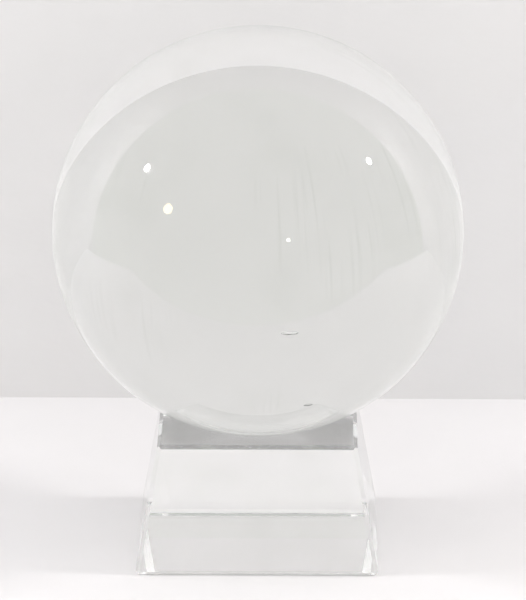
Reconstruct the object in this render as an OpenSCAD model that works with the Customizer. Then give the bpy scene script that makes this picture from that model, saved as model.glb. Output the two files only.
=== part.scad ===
// Crystal ball on a clear glass stand.
// A solid optical-glass sphere rests loose in a shallow dish ground into the top of a solid glass
// block, cut as a truncated rectangular pyramid with every edge bevelled and polished.
// Units: mm. +Z is up, the stand's wide side runs along X, and the origin is the middle of its
// underside, so the ball's centre is on the Z axis.

/* [Ball] */
// Diameter of the ball
ball_d = 100; // [60:1:150]

/* [Stand] */
// Width of the stand's foot, left to right
foot_w = 59.5; // [50:0.5:90]
// Depth of the stand's foot, front to back
foot_d = 49.5; // [46:0.5:80]
// Height of the stand
stand_h = 31.9; // [20:0.1:50]
// How far each side leans in between the foot and the top
side_lean = 5.5; // [1:0.1:7]
// Width of the bevel round the top face, measured along the faces it joins
top_bevel = 0.8; // [0.3:0.1:2]
// Width of the bevel round the foot, measured along the faces it joins
foot_bevel = 0.9; // [0.3:0.1:2]
// Width of the bevel down each of the four leaning corners, measured along the faces it joins
corner_bevel = 1; // [0.5:0.1:3]

/* [Seat] */
// How far the bottom of the ball sits below the stand's top face
seat_sink = 1.4; // [0.8:0.1:3]
// Air gap between the ball and the ground dish
seat_gap = 0.2; // [0.15:0.05:0.3]

/* [Hidden] */
$fn = 96;

ball_r = ball_d / 2;
// Height of the ball's centre above the surface that the stand rests on
ball_z = stand_h + ball_r - seat_sink;
// Half sizes of the foot, across X and across Y
foot_half = [foot_w / 2, foot_d / 2];
// Size of a cutting block, larger than the whole stand
cutter = 2 * (foot_w + foot_d + stand_h);

// Outward normals of the block's flat sides
up = [0, 0, 1];
down = [0, 0, -1];
lean_angle = atan(side_lean / stand_h);
function side_normal(turn) = [cos(turn) * cos(lean_angle), sin(turn) * cos(lean_angle), sin(lean_angle)];
// Half size of the foot towards a side: sides 0 and 180 face along X, sides 90 and 270 along Y
function half_towards(turn) = foot_half[(turn / 90) % 2];
// A point on the foot's edge or the top's edge, in the middle of a side
function foot_point(turn) = half_towards(turn) * [cos(turn), sin(turn), 0];
function top_point(turn) = (half_towards(turn) - side_lean) * [cos(turn), sin(turn), 0] + stand_h * up;
// The foot's corner between a side and the next one round
function foot_corner(turn) = foot_point(turn) + foot_point(turn + 90);

function unit(v) = v / norm(v);
// Sine of half the angle between two unit normals, for an edge that they share
function half_sine(n1, n2) = norm(n1 - n2) / 2;

// Removes everything beyond the plane through a point, with the given outward normal
module cut_beyond(normal, point) {
    n = unit(normal);
    rotate([0, acos(n[2]), atan2(n[1], n[0])])
        translate([-cutter / 2, -cutter / 2, n * point])
            cube(cutter);
}

// Removes the sharp edge between two faces, given their normals, a point on the edge and how far
// the bevel reaches along each face
module cut_edge(n1, n2, point, bevel) {
    n = unit(n1 + n2);
    cut_beyond(n, point - n * bevel * half_sine(n1, n2));
}

// The stand's block, before the seat is ground into it
module bevelled_block() {
    difference() {
        translate([-foot_w / 2, -foot_d / 2, 0])
            cube([foot_w, foot_d, stand_h]);
        for (turn = [0 : 90 : 270]) {
            side = side_normal(turn);
            cut_beyond(side, foot_point(turn));
            cut_edge(side, up, top_point(turn), top_bevel);
            cut_edge(side, down, foot_point(turn), foot_bevel);
            cut_edge(side, side_normal(turn + 90), foot_corner(turn), corner_bevel);
        }
    }
}

module crystal_ball() {
    color([0.93, 0.95, 0.94, 0.45])
        translate([0, 0, ball_z])
            sphere(r = ball_r);
}

module stand() {
    color([0.86, 0.90, 0.88, 0.55])
        difference() {
            bevelled_block();
            translate([0, 0, ball_z])
                sphere(r = ball_r + seat_gap);
        }
}

crystal_ball();
stand();
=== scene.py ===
"""A clear glass ball on its cut glass stand, on a white table in front of a pale plaster board."""

import math

import bmesh
import bpy
from mathutils import Matrix, Vector


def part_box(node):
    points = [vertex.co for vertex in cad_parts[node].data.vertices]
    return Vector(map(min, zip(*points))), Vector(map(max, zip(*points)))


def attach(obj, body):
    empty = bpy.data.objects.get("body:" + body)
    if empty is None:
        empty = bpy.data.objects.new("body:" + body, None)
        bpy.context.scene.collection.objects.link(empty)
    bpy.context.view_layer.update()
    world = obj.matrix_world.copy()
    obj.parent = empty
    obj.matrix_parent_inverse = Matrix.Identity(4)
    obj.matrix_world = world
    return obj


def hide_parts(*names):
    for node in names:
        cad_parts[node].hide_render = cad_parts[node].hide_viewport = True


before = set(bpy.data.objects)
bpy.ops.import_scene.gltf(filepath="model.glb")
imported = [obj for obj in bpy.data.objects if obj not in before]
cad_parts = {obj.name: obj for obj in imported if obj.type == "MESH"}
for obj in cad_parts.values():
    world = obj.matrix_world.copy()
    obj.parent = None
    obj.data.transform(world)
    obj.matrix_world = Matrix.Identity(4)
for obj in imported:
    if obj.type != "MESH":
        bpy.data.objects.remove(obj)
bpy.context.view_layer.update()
MM = 0.001

# ---- Sizes and places, from the frame ----

ball_low, ball_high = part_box("crystal_ball")
BALL_RADIUS = (ball_high.z - ball_low.z) / 2
BALL_CENTRE = Vector((0, 0, (ball_high.z + ball_low.z) / 2))

# ---- Glass ----

GLASS_IOR = 1.5168
CLEAR = (1, 1, 1, 1)
# What smears, wipe marks and nicks let through
FILM = (0.92, 0.93, 0.915, 1)
# Tints, and absorption per metre of the colours that each tint leaves out
BALL_TINT = (0.75, 0.90, 0.74, 1)
BALL_DENSITY = 0.8
STAND_TINT = (0.86, 0.92, 0.88, 1)
STAND_DENSITY = 0.8
# Small bubbles left in the melt: place from the ball's centre, and half sizes
BUBBLES = [
    (Vector((7.0, -33.4, -10.8)) * MM, Vector((1.8, 0.4, 0.4)) * MM),
    (Vector((11.3, -29.5, -29.9)) * MM, Vector((1.0, 0.35, 0.35)) * MM),
]
# Marks on the ball: features per metre on each axis, and the noise levels where they start and end
BALL_SMEARS = (40, 40, 40)
BALL_SMEAR_LEVELS = (0.52, 0.75)
WIPE_PATCHES = (28, 28, 28)
WIPE_PATCH_LEVELS = (0.48, 0.60)
# Wipe streaks: features per radian round the ball on the first two axes, and per metre up it
WIPE_STREAKS = (40, 40, 25)
WIPE_STREAK_LEVELS = (0.54, 0.66)
BALL_WAVES = (55, 55, 55)
BALL_WAVE_HEIGHT = 0.006 * MM
WIPE_HEIGHT = 0.001 * MM
# Roughness that they add
BALL_SMEAR_HAZE = 0.012
WIPE_HAZE = 0.12
# Marks on the stand, in the same units
STAND_SMEARS = (60, 60, 60)
STAND_SMEAR_LEVELS = (0.50, 0.75)
STAND_WAVES = (70, 70, 70)
STAND_WAVE_HEIGHT = 0.003 * MM
NICKS = (2500, 2500, 2500)
NICK_LEVELS = (0.62, 0.72)
NICK_HEIGHT = 0.005 * MM
STAND_SMEAR_HAZE = 0.008
NICK_HAZE = 0.2
BEVEL_HAZE = 0.03
DISH_HAZE = 0.08
# The three parts of a normal, without their signs, add up to less than the first of these on the
# block's flats, and to more than the second on its bevels
BEVEL_SUMS = (1.28, 1.36)
# Air gap between the ball and its dish, and where the dish's finish fades out, past its surface
SEAT_GAP = 0.2 * MM
DISH_FADE = (0.02 * MM, 0.06 * MM)
# Width and height of one grinding ring in the dish
RING_WIDTH = 0.35 * MM
RING_HEIGHT = 0.001 * MM
# Fineness of the round meshes, as icosphere subdivisions
BALL_FINENESS = 7
BUBBLE_FINENESS = 4

# ---- The set ----

# Paper and plaster: colours, roughness, noise features per metre, and the height of their relief
PAPER_LIGHT = (0.675, 0.660, 0.672, 1)
PAPER_DARK = (0.655, 0.641, 0.652, 1)
PAPER_ROUGHNESS = 0.7
PAPER_MOTTLE = (60, 60, 60)
PAPER_TOOTH = (1400, 900, 1400)
PAPER_TOOTH_HEIGHT = 0.02 * MM
PLASTER_LIGHT = (0.692, 0.682, 0.686, 1)
PLASTER_DARK = (0.634, 0.624, 0.628, 1)
PLASTER_ROUGHNESS = 0.75
PLASTER_MOTTLE = (14, 14, 30)
PLASTER_TROWEL = (45, 45, 90)
PLASTER_TROWEL_HEIGHT = 0.25 * MM
# The table, and the round board centred on its back edge
TABLE_HALF_WIDTH = 435 * MM
TABLE_FRONT = -160 * MM
BOARD_BEHIND = 93.5 * MM
BOARD_RADIUS = 575 * MM
BOARD_SIDES = 120
FLOOR_REACH = 4000 * MM
# How far the table and the floor are below the stand
PAPER_GAP = 0.03 * MM
FLOOR_GAP = 0.05 * MM

# ---- The light ----

# Brightness of the room: for matt surfaces, for what the glass mirrors, and behind everything
DOME = 1.0
ROOM = 0.68
ROOM_COLOUR = (0.82, 1.0, 0.72, 1)
PALE = 0.78
# Brightness seen through the glass: low in front, more overhead, high at the sides. Each change
# starts and ends at these parts of a unit direction, upwards or sideways.
FRONT = 0.4
OVERHEAD = 0.62
OVERHEAD_PARTS = (0.6, 0.9)
SIDE = 1.3
SIDE_PARTS = (0.35, 0.75)
# Brightness that matt surfaces get through the glass
UNDER = 0.65
# Lamps that the glass mirrors as its highlights: name, place, power in watts, radius and colour
LAMPS = [
    ("lamp_left", Vector((-863, -133, 644)) * MM, 3, 28 * MM, (1, 1, 1)),
    ("lamp_right", Vector((852, -58, 673)) * MM, 3, 28 * MM, (1, 0.98, 0.95)),
    ("lamp_warm", Vector((-439, -330, 309)) * MM, 0.4, 27 * MM, (1, 0.82, 0.5)),
    ("lamp_far", Vector((358, -1160, 377)) * MM, 0.5, 24 * MM, (1, 0.98, 0.9)),
]
# Lamps that the glass doesn't mirror, which light up both sides of the board
WASHERS = [
    ("washer_left", Vector((-420, -16, 255)) * MM, 3.6, 30 * MM, (1, 1, 1)),
    ("washer_right", Vector((430, -16, 260)) * MM, 4.6, 30 * MM, (1, 0.98, 0.96)),
]

# ---- The camera ----

CAMERA_RISE = math.radians(19.2)
CAMERA_TURN = math.radians(0.7)
CAMERA_DISTANCE = 1.0
VIEW_HEIGHT = 145.6 * MM
AIM_BELOW = 16.75 * MM
AIM_RIGHT = 1.2 * MM
SENSOR = 36.0
NEAREST = 0.01
FURTHEST = 50


# ---- Shader nodes ----

# The colour inputs of a Mix node, which share their names with its other inputs
COLOUR_A = 6
COLOUR_B = 7
COLOUR_RESULT = 2


def new_material(name):
    material = bpy.data.materials.new(name)
    material.use_nodes = True
    tree = material.node_tree
    return material, tree, tree.nodes["Principled BSDF"]


def feed(tree, value, socket):
    """Gives a socket its value: a link from another socket, or a constant."""
    if isinstance(value, bpy.types.NodeSocket):
        tree.links.new(value, socket)
    else:
        socket.default_value = value


def maths(tree, operation, first, second=0.0):
    node = tree.nodes.new("ShaderNodeMath")
    node.operation = operation
    feed(tree, first, node.inputs[0])
    feed(tree, second, node.inputs[1])
    return node.outputs["Value"]


def vector_maths(tree, operation, first, second=(0, 0, 0), output="Vector"):
    node = tree.nodes.new("ShaderNodeVectorMath")
    node.operation = operation
    feed(tree, first, node.inputs[0])
    feed(tree, second, node.inputs[1])
    return node.outputs[output]


def place(tree, centre=(0, 0, 0)):
    """Where the shaded point is from a centre, in metres."""
    coords = tree.nodes.new("ShaderNodeTexCoord")
    return vector_maths(tree, "SUBTRACT", coords.outputs["Object"], centre)


def noise(tree, vector, stretch, detail=2.0):
    """Noise along a vector; stretch is how many features there are per unit on each axis."""
    node = tree.nodes.new("ShaderNodeTexNoise")
    node.inputs["Scale"].default_value = 1.0
    node.inputs["Detail"].default_value = detail
    feed(tree, vector_maths(tree, "MULTIPLY", vector, stretch), node.inputs["Vector"])
    return node.outputs["Fac"]


def spread(tree, value, low, high, to_low, to_high):
    """Maps low..high to to_low..to_high, and stops at both ends."""
    node = tree.nodes.new("ShaderNodeMapRange")
    node.inputs["From Min"].default_value = low
    node.inputs["From Max"].default_value = high
    node.inputs["To Min"].default_value = to_low
    node.inputs["To Max"].default_value = to_high
    feed(tree, value, node.inputs["Value"])
    return node.outputs["Result"]


def blend_colours(tree, factor, first, second):
    node = tree.nodes.new("ShaderNodeMix")
    node.data_type = "RGBA"
    feed(tree, factor, node.inputs["Factor"])
    feed(tree, first, node.inputs[COLOUR_A])
    feed(tree, second, node.inputs[COLOUR_B])
    return node.outputs[COLOUR_RESULT]


def bump(tree, height, distance, before=None):
    """Turns a height of 0 to 1 into a normal, on top of an earlier bump if there is one."""
    node = tree.nodes.new("ShaderNodeBump")
    node.inputs["Strength"].default_value = 1.0
    node.inputs["Distance"].default_value = distance
    feed(tree, height, node.inputs["Height"])
    if before is not None:
        feed(tree, before, node.inputs["Normal"])
    return node.outputs["Normal"]


# ---- Glass ----


def glass(name, tint, density):
    """Clear glass whose body absorbs a little light."""
    material, tree, shader = new_material(name)
    shader.inputs["IOR"].default_value = GLASS_IOR
    shader.inputs["Transmission Weight"].default_value = 1.0
    absorption = tree.nodes.new("ShaderNodeVolumeAbsorption")
    absorption.inputs["Color"].default_value = tint
    absorption.inputs["Density"].default_value = density
    tree.links.new(absorption.outputs["Volume"], tree.nodes["Material Output"].inputs["Volume"])
    return material, tree, shader


def wipe_marks(tree, spot):
    """Faint dry wipe marks that run up and down the ball, in patches."""
    heading = vector_maths(tree, "NORMALIZE", vector_maths(tree, "MULTIPLY", spot, (1, 1, 0)))
    along = vector_maths(tree, "ADD", heading, vector_maths(tree, "MULTIPLY", spot, (0, 0, 1)))
    streaks = spread(tree, noise(tree, along, WIPE_STREAKS, 3), *WIPE_STREAK_LEVELS, 0, 1)
    patches = spread(tree, noise(tree, spot, WIPE_PATCHES), *WIPE_PATCH_LEVELS, 0, 1)
    return maths(tree, "MULTIPLY", streaks, patches)


def ball_glass():
    """Polished glass with faint smears, wipe marks, and the slow waves that polishing leaves."""
    material, tree, shader = glass("ball_glass", BALL_TINT, BALL_DENSITY)
    spot = place(tree, BALL_CENTRE)
    smears = spread(tree, noise(tree, spot, BALL_SMEARS, 4), *BALL_SMEAR_LEVELS, 0, 1)
    marks = wipe_marks(tree, spot)
    film = maths(tree, "MAXIMUM", smears, marks)
    feed(tree, blend_colours(tree, film, CLEAR, FILM), shader.inputs["Base Color"])
    smear_haze = maths(tree, "MULTIPLY", smears, BALL_SMEAR_HAZE)
    mark_haze = maths(tree, "MULTIPLY", marks, WIPE_HAZE)
    feed(tree, maths(tree, "ADD", smear_haze, mark_haze), shader.inputs["Roughness"])
    waves = bump(tree, noise(tree, spot, BALL_WAVES), BALL_WAVE_HEIGHT)
    feed(tree, bump(tree, marks, WIPE_HEIGHT, waves), shader.inputs["Normal"])
    return material


def on_bevel(tree):
    """1 where the surface faces between two of the block's sides, as its bevels do.

    The dish's rim comes partway, where it faces a corner of the block.
    """
    geometry = tree.nodes.new("ShaderNodeNewGeometry")
    facing = vector_maths(tree, "ABSOLUTE", geometry.outputs["True Normal"])
    total = vector_maths(tree, "DOT_PRODUCT", facing, (1, 1, 1), "Value")
    return spread(tree, total, *BEVEL_SUMS, 0, 1)


def in_dish(tree, spot):
    """1 on the dish, which is the only part of the block this close to the ball's centre."""
    reach = vector_maths(tree, "LENGTH", spot, output="Value")
    dish = BALL_RADIUS + SEAT_GAP
    start, end = DISH_FADE
    return spread(tree, reach, dish + start, dish + end, 1, 0)


def grinding_rings(tree, spot):
    """Waves from 0 to 1 in rings round the vertical axis."""
    level = vector_maths(tree, "MULTIPLY", spot, (1, 1, 0))
    radius = vector_maths(tree, "LENGTH", level, output="Value")
    turns = maths(tree, "MULTIPLY", radius, math.tau / RING_WIDTH)
    return spread(tree, maths(tree, "SINE", turns), -1, 1, 0, 1)


def stand_glass():
    """Polished flats with faint smears, finely ground bevels with nicks, and rings in the dish."""
    material, tree, shader = glass("stand_glass", STAND_TINT, STAND_DENSITY)
    spot = place(tree, BALL_CENTRE)
    bevel = on_bevel(tree)
    dish = in_dish(tree, spot)
    smears = spread(tree, noise(tree, spot, STAND_SMEARS, 4), *STAND_SMEAR_LEVELS, 0, 1)
    specks = spread(tree, noise(tree, spot, NICKS), *NICK_LEVELS, 0, 1)
    nicks = maths(tree, "MULTIPLY", bevel, specks)
    film = maths(tree, "MAXIMUM", smears, nicks)
    feed(tree, blend_colours(tree, film, CLEAR, FILM), shader.inputs["Base Color"])
    bevel_haze = maths(tree, "MULTIPLY", bevel, BEVEL_HAZE)
    ground_haze = maths(tree, "MAXIMUM", bevel_haze, maths(tree, "MULTIPLY", dish, DISH_HAZE))
    worn_haze = maths(tree, "MAXIMUM", ground_haze, maths(tree, "MULTIPLY", nicks, NICK_HAZE))
    smear_haze = maths(tree, "MULTIPLY", smears, STAND_SMEAR_HAZE)
    feed(tree, maths(tree, "ADD", worn_haze, smear_haze), shader.inputs["Roughness"])
    waves = bump(tree, noise(tree, spot, STAND_WAVES), STAND_WAVE_HEIGHT)
    rings = maths(tree, "MULTIPLY", dish, grinding_rings(tree, spot))
    relief = bump(tree, rings, RING_HEIGHT, waves)
    feed(tree, bump(tree, nicks, NICK_HEIGHT, relief), shader.inputs["Normal"])
    return material


# ---- The object ----


def add_object(name, data):
    thing = bpy.data.objects.new(name, data)
    bpy.context.scene.collection.objects.link(thing)
    return thing


def add_egg(shape, centre, half_sizes, fineness, hollow):
    """Adds a ball or an egg shape, or a hollow one that faces inwards, and returns its normals."""
    made = bmesh.ops.create_icosphere(shape, subdivisions=fineness, radius=1)["verts"]
    faces = {face for vertex in made for face in vertex.link_faces}
    if hollow:
        bmesh.ops.reverse_faces(shape, faces=list(faces))
    normals = []
    for vertex in made:
        outward = Vector([part / size for part, size in zip(vertex.co, half_sizes)]).normalized()
        normals.append(-outward if hollow else outward)
        vertex.co = centre + vertex.co * half_sizes
    return normals


def make_ball():
    """The ball with its bubbles, with smooth normals so that it refracts as a true sphere."""
    shape = bmesh.new()
    full = Vector((BALL_RADIUS, BALL_RADIUS, BALL_RADIUS))
    normals = add_egg(shape, BALL_CENTRE, full, BALL_FINENESS, False)
    for middle, half_sizes in BUBBLES:
        normals += add_egg(shape, BALL_CENTRE + middle, half_sizes, BUBBLE_FINENESS, True)
    mesh = bpy.data.meshes.new("glass_ball")
    shape.to_mesh(mesh)
    shape.free()
    mesh.shade_smooth()
    mesh.normals_split_custom_set_from_vertices(normals)
    mesh.materials.append(ball_glass())
    ball = add_object("glass_ball", mesh)
    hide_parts("crystal_ball")
    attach(ball, "ball")


def finish_stand():
    """Gives the CAD stand its glass."""
    material = stand_glass()
    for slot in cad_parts["stand"].material_slots:
        slot.material = material


# ---- The set ----


def flat(name, corners, material):
    """Adds one flat face that isn't part of the object."""
    mesh = bpy.data.meshes.new(name)
    mesh.from_pydata(corners, [], [tuple(range(len(corners)))])
    mesh.materials.append(material)
    thing = add_object(name, mesh)
    return thing


def oblong(left, right, front, back, height):
    """The corners of a level oblong that faces up."""
    return [(left, front, height), (right, front, height), (right, back, height), (left, back, height)]


def paper():
    """Matt white card with a fine tooth."""
    material, tree, shader = new_material("paper")
    spot = place(tree)
    shader.inputs["Roughness"].default_value = PAPER_ROUGHNESS
    mottle = noise(tree, spot, PAPER_MOTTLE, 5)
    feed(tree, blend_colours(tree, mottle, PAPER_DARK, PAPER_LIGHT), shader.inputs["Base Color"])
    tooth = noise(tree, spot, PAPER_TOOTH, 3)
    feed(tree, bump(tree, tooth, PAPER_TOOTH_HEIGHT), shader.inputs["Normal"])
    return material


def plaster():
    """Matt plaster with trowel marks, on a board that only shows from its front."""
    material, tree, shader = new_material("plaster")
    spot = place(tree)
    shader.inputs["Roughness"].default_value = PLASTER_ROUGHNESS
    mottle = noise(tree, spot, PLASTER_MOTTLE, 5)
    feed(tree, blend_colours(tree, mottle, PLASTER_DARK, PLASTER_LIGHT), shader.inputs["Base Color"])
    trowel = noise(tree, spot, PLASTER_TROWEL, 4)
    feed(tree, bump(tree, trowel, PLASTER_TROWEL_HEIGHT), shader.inputs["Normal"])
    behind = tree.nodes.new("ShaderNodeNewGeometry").outputs["Backfacing"]
    clear = tree.nodes.new("ShaderNodeBsdfTransparent").outputs["BSDF"]
    one_sided = switch(tree, behind, shader.outputs["BSDF"], clear)
    feed(tree, one_sided, tree.nodes["Material Output"].inputs["Surface"])
    return material


def make_set():
    """A table and a round board behind it, and a wide floor that the glass doesn't show."""
    card = paper()
    half = TABLE_HALF_WIDTH
    flat("table", oblong(-half, half, TABLE_FRONT, BOARD_BEHIND, -PAPER_GAP), card)
    reach = FLOOR_REACH
    floor = flat("floor_beyond", oblong(-reach, reach, -reach, reach, -FLOOR_GAP), card)
    floor.visible_glossy = False
    floor.visible_transmission = False
    angles = [math.tau * step / BOARD_SIDES for step in range(BOARD_SIDES)]
    across = [BOARD_RADIUS * math.cos(angle) for angle in angles]
    above = [BOARD_RADIUS * math.sin(angle) for angle in angles]
    rim = [(x, BOARD_BEHIND, z) for x, z in zip(across, above)]
    flat("board", rim, plaster())


# ---- The light ----


def background(tree, strength, colour=CLEAR):
    """Light that comes in evenly from all round."""
    node = tree.nodes.new("ShaderNodeBackground")
    node.inputs["Color"].default_value = colour
    feed(tree, strength, node.inputs["Strength"])
    return node.outputs["Background"]


def switch(tree, factor, first, second):
    """The first shader where the factor is 0, the second where it is 1."""
    node = tree.nodes.new("ShaderNodeMixShader")
    feed(tree, factor, node.inputs["Fac"])
    tree.links.new(first, node.inputs[1])
    tree.links.new(second, node.inputs[2])
    return node.outputs["Shader"]


def make_world():
    """A soft white room, with other brightnesses for what the glass mirrors and lets through."""
    world = bpy.data.worlds.new("world")
    bpy.context.scene.world = world
    world.use_nodes = True
    tree = world.node_tree
    path = tree.nodes.new("ShaderNodeLightPath").outputs
    coords = tree.nodes.new("ShaderNodeTexCoord")
    heading = coords.outputs["Generated"]
    upwards = vector_maths(tree, "DOT_PRODUCT", heading, (0, 0, 1), "Value")
    across = vector_maths(tree, "DOT_PRODUCT", heading, (1, 0, 0), "Value")
    middle = spread(tree, upwards, *OVERHEAD_PARTS, FRONT, OVERHEAD)
    sideways = spread(tree, maths(tree, "ABSOLUTE", across), *SIDE_PARTS, 0, 1)
    extra = maths(tree, "MULTIPLY", sideways, maths(tree, "SUBTRACT", SIDE, middle))
    level = maths(tree, "ADD", middle, extra)
    mirrored = maths(tree, "MULTIPLY", path["Is Glossy Ray"], path["Is Reflection Ray"])
    after_matt = maths(tree, "MINIMUM", path["Diffuse Depth"], 1)
    through = switch(tree, after_matt, background(tree, level), background(tree, UNDER))
    light = switch(tree, path["Is Transmission Ray"], background(tree, DOME), through)
    light = switch(tree, mirrored, light, background(tree, ROOM, ROOM_COLOUR))
    light = switch(tree, path["Is Camera Ray"], light, background(tree, PALE))
    tree.links.new(light, tree.nodes["World Output"].inputs["Surface"])


def make_lamp(name, spot, power, radius, colour):
    """A round lamp that lights the scene, but isn't seen directly or through the glass."""
    data = bpy.data.lights.new(name, "POINT")
    data.energy = power
    data.shadow_soft_size = radius
    data.color = colour
    lamp = add_object(name, data)
    lamp.location = spot
    lamp.visible_camera = False
    lamp.visible_transmission = False
    return lamp


def make_lamps():
    for facts in LAMPS:
        make_lamp(*facts)
    for facts in WASHERS:
        make_lamp(*facts).visible_glossy = False


# ---- The camera ----


def make_camera():
    """Aims a camera at the ball from the angle that the constants give."""
    turn = Matrix.Rotation(CAMERA_TURN, 3, "Z")
    back = turn @ Vector((0, -math.cos(CAMERA_RISE), math.sin(CAMERA_RISE)))
    up = turn @ Vector((0, math.sin(CAMERA_RISE), math.cos(CAMERA_RISE)))
    right = turn @ Vector((1, 0, 0))
    data = bpy.data.cameras.new("camera")
    camera = add_object("camera", data)
    camera.location = BALL_CENTRE + back * CAMERA_DISTANCE
    aim = BALL_CENTRE + right * AIM_RIGHT - up * AIM_BELOW
    camera.rotation_mode = "QUATERNION"
    camera.rotation_quaternion = (aim - camera.location).to_track_quat("-Z", "Y")
    # Distance from the camera to the ball's outline, which VIEW_HEIGHT is measured across
    reach = math.sqrt(CAMERA_DISTANCE ** 2 - BALL_RADIUS ** 2)
    data.sensor_width = SENSOR
    data.lens = SENSOR * reach / VIEW_HEIGHT
    data.clip_start = NEAREST
    data.clip_end = FURTHEST
    bpy.context.scene.camera = camera


def set_light_paths():
    """Enough bounces for light that is trapped in the glass, which counts as glossy."""
    scene = bpy.context.scene
    scene.view_settings.view_transform = "Standard"
    scene.cycles.use_denoising = True
    scene.cycles.blur_glossy = 0.0
    scene.cycles.max_bounces = 40
    scene.cycles.glossy_bounces = 32
    scene.cycles.transmission_bounces = 32
    scene.cycles.diffuse_bounces = 6


make_camera()
make_ball()
finish_stand()
make_set()
make_world()
make_lamps()
set_light_paths()
